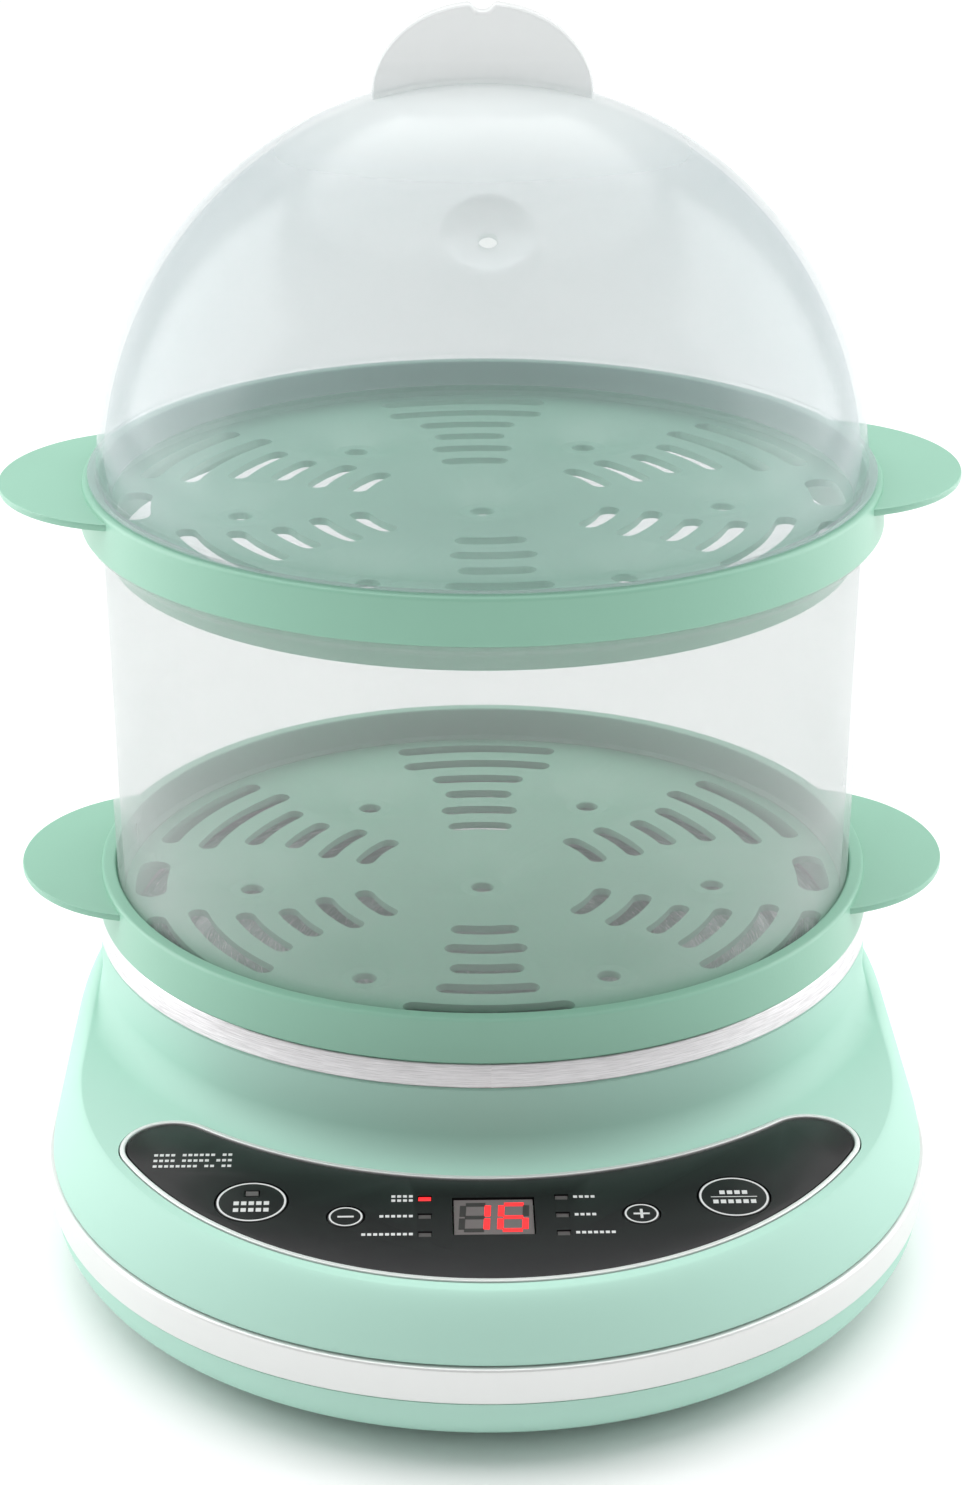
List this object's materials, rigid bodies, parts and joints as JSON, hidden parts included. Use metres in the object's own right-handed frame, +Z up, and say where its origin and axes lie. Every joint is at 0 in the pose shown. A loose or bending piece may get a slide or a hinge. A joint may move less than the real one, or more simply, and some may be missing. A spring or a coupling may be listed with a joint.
{
  "type": "egg cooker",
  "caption": "Two-tier electric egg cooker: round base with a curved touch panel, steel collar, stacked egg trays, clear steam chamber and clear domed lid.",
  "frame": {"origin": "on the surface the cooker stands on, under the middle of the base", "axes": "+Z up, -Y towards the control panel, +X to the right of someone facing the panel"},
  "size_m": [0.206, 0.2334, 0.2555],
  "materials": {
    "mint_plastic": "pale mint, satin moulded",
    "clear_plastic": "clear moulding, slightly misty",
    "satin_trim": "silver, satin",
    "brushed_steel": "fine brushed",
    "bright_steel": "polished",
    "dark_steel": "dull, heat-darkened sheath",
    "black_panel": "glossy black",
    "light_bar": "diffusing light guide",
    "black_plastic": "black moulded",
    "rubber": "black rubber",
    "silicone": "translucent silicone",
    "circuit_board": "green board",
    "amber_tape": "amber tape",
    "blue_sleeve": "dark blue case",
    "green_plastic": "green moulded",
    "white_sleeve": "glass-fibre sleeve",
    "grey_ribbon": "flat ribbon cable"
  },
  "bodies": {
    "base": {"bottom_pan": "mint_plastic", "upper_housing": "mint_plastic", "base_trim_band": "satin_trim", "panel_bezel": "satin_trim", "steel_collar": "brushed_steel", "heat_shield": "brushed_steel", "thermal_fuse": "brushed_steel", "housing_screw_1": "brushed_steel", "housing_screw_2": "brushed_steel", "housing_screw_3": "brushed_steel", "housing_screw_4": "brushed_steel", "shield_screw_1": "brushed_steel", "shield_screw_2": "brushed_steel", "shield_screw_3": "brushed_steel", "board_screw_1": "brushed_steel", "board_screw_2": "brushed_steel", "board_screw_3": "brushed_steel", "board_screw_4": "brushed_steel", "heating_plate": "bright_steel", "heating_element": "dark_steel", "panel_lens": "black_panel", "left_light_bars": "light_bar", "right_light_bars": "light_bar", "display_module": "black_plastic", "thermostat": "black_plastic", "buzzer": "black_plastic", "delay_timer_switch": "black_plastic", "minus_switch": "black_plastic", "plus_switch": "black_plastic", "menu_cancel_switch": "black_plastic", "foot_front_left": "rubber", "foot_front_right": "rubber", "foot_rear_left": "rubber", "foot_rear_right": "rubber", "cord_gland": "rubber", "plate_gasket": "silicone", "power_board": "circuit_board", "control_board": "circuit_board", "transformer": "amber_tape", "filter_capacitor": "blue_sleeve", "relay": "blue_sleeve", "terminal_block": "green_plastic", "heater_lead_left": "white_sleeve", "heater_lead_right": "white_sleeve", "display_ribbon": "grey_ribbon"},
    "lower_tray": {"lower_tray": "mint_plastic"},
    "steam_chamber": {"steam_chamber": "clear_plastic"},
    "upper_tray": {"upper_tray": "mint_plastic"},
    "lid": {"lid": "clear_plastic"},
    "delay_timer_button": {"delay_timer_button": "black_panel", "delay_indicator_light": "light_bar"},
    "minus_button": {"minus_button": "black_panel"},
    "plus_button": {"plus_button": "black_panel"},
    "menu_cancel_button": {"menu_cancel_button": "black_panel"}
  },
  "joints": [
    {"name": "lower_tray_lift", "type": "slide", "parent": "base", "child": "lower_tray", "axis": [0, 0, 1], "range_m": [0, 0.04]},
    {"name": "steam_chamber_lift", "type": "slide", "parent": "lower_tray", "child": "steam_chamber", "axis": [0, 0, 1], "range_m": [0, 0.06]},
    {"name": "upper_tray_lift", "type": "slide", "parent": "steam_chamber", "child": "upper_tray", "axis": [0, 0, 1], "range_m": [0, 0.04]},
    {"name": "lid_lift", "type": "slide", "parent": "upper_tray", "child": "lid", "axis": [0, 0, 1], "range_m": [0, 0.08]},
    {"name": "delay_timer_press", "type": "slide", "parent": "base", "child": "delay_timer_button", "axis": [0, 0.0349, -0.9994], "range_m": [0, 0.0005], "stiffness_N_per_m": 800},
    {"name": "minus_press", "type": "slide", "parent": "base", "child": "minus_button", "axis": [0, 0.0349, -0.9994], "range_m": [0, 0.0005], "stiffness_N_per_m": 800},
    {"name": "plus_press", "type": "slide", "parent": "base", "child": "plus_button", "axis": [0, 0.0349, -0.9994], "range_m": [0, 0.0005], "stiffness_N_per_m": 800},
    {"name": "menu_cancel_press", "type": "slide", "parent": "base", "child": "menu_cancel_button", "axis": [0, 0.0349, -0.9994], "range_m": [0, 0.0005], "stiffness_N_per_m": 800}
  ]
}
